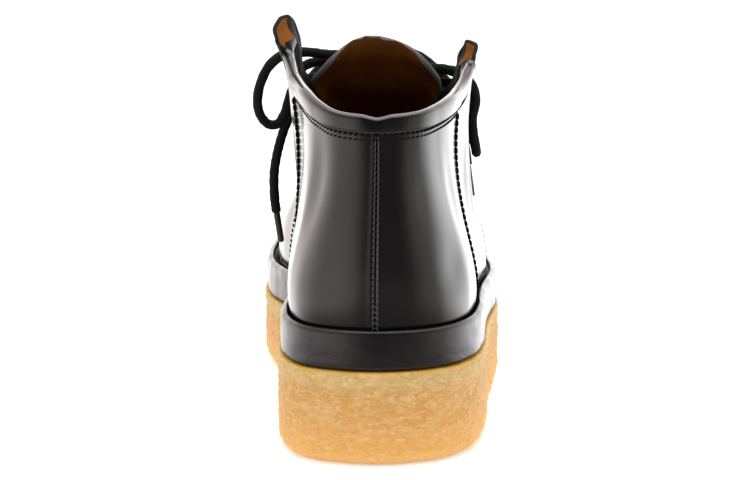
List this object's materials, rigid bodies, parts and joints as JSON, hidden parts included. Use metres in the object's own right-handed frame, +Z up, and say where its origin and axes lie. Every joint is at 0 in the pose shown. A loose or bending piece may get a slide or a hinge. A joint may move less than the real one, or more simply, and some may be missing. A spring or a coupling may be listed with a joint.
{
  "type": "platform lace-up boot",
  "caption": "Ankle boot for the right foot, black polished leather with tan lining, leather-wrapped midsole and thick crepe platform sole, laces tied in a bow.",
  "frame": {"origin": "on the floor, under the middle of the sole's length", "axes": "+Z up, +Y towards the toe, +X towards the outer side of the foot"},
  "size_m": [0.0952, 0.276, 0.144],
  "materials": {
    "crepe": "crinkled natural crepe, honey coloured, satin",
    "black_leather": "box leather polished to a mirror shine",
    "tan_leather": "smooth vegetable-tanned lining, satin",
    "lace": "round braided cotton, matte",
    "lace_tip": "satin sleeve"
  },
  "bodies": {
    "root": {"outsole": "crepe", "midsole": "black_leather", "insole": "tan_leather", "upper": "black_leather", "tongue": "black_leather", "lace_crossings": "lace", "lace_knot": "lace", "lace_loop_left": "lace", "lace_loop_right": "lace", "lace_end_left": "lace", "lace_end_right": "lace", "lace_tip_left": "lace_tip", "lace_tip_right": "lace_tip"}
  },
  "joints": []
}
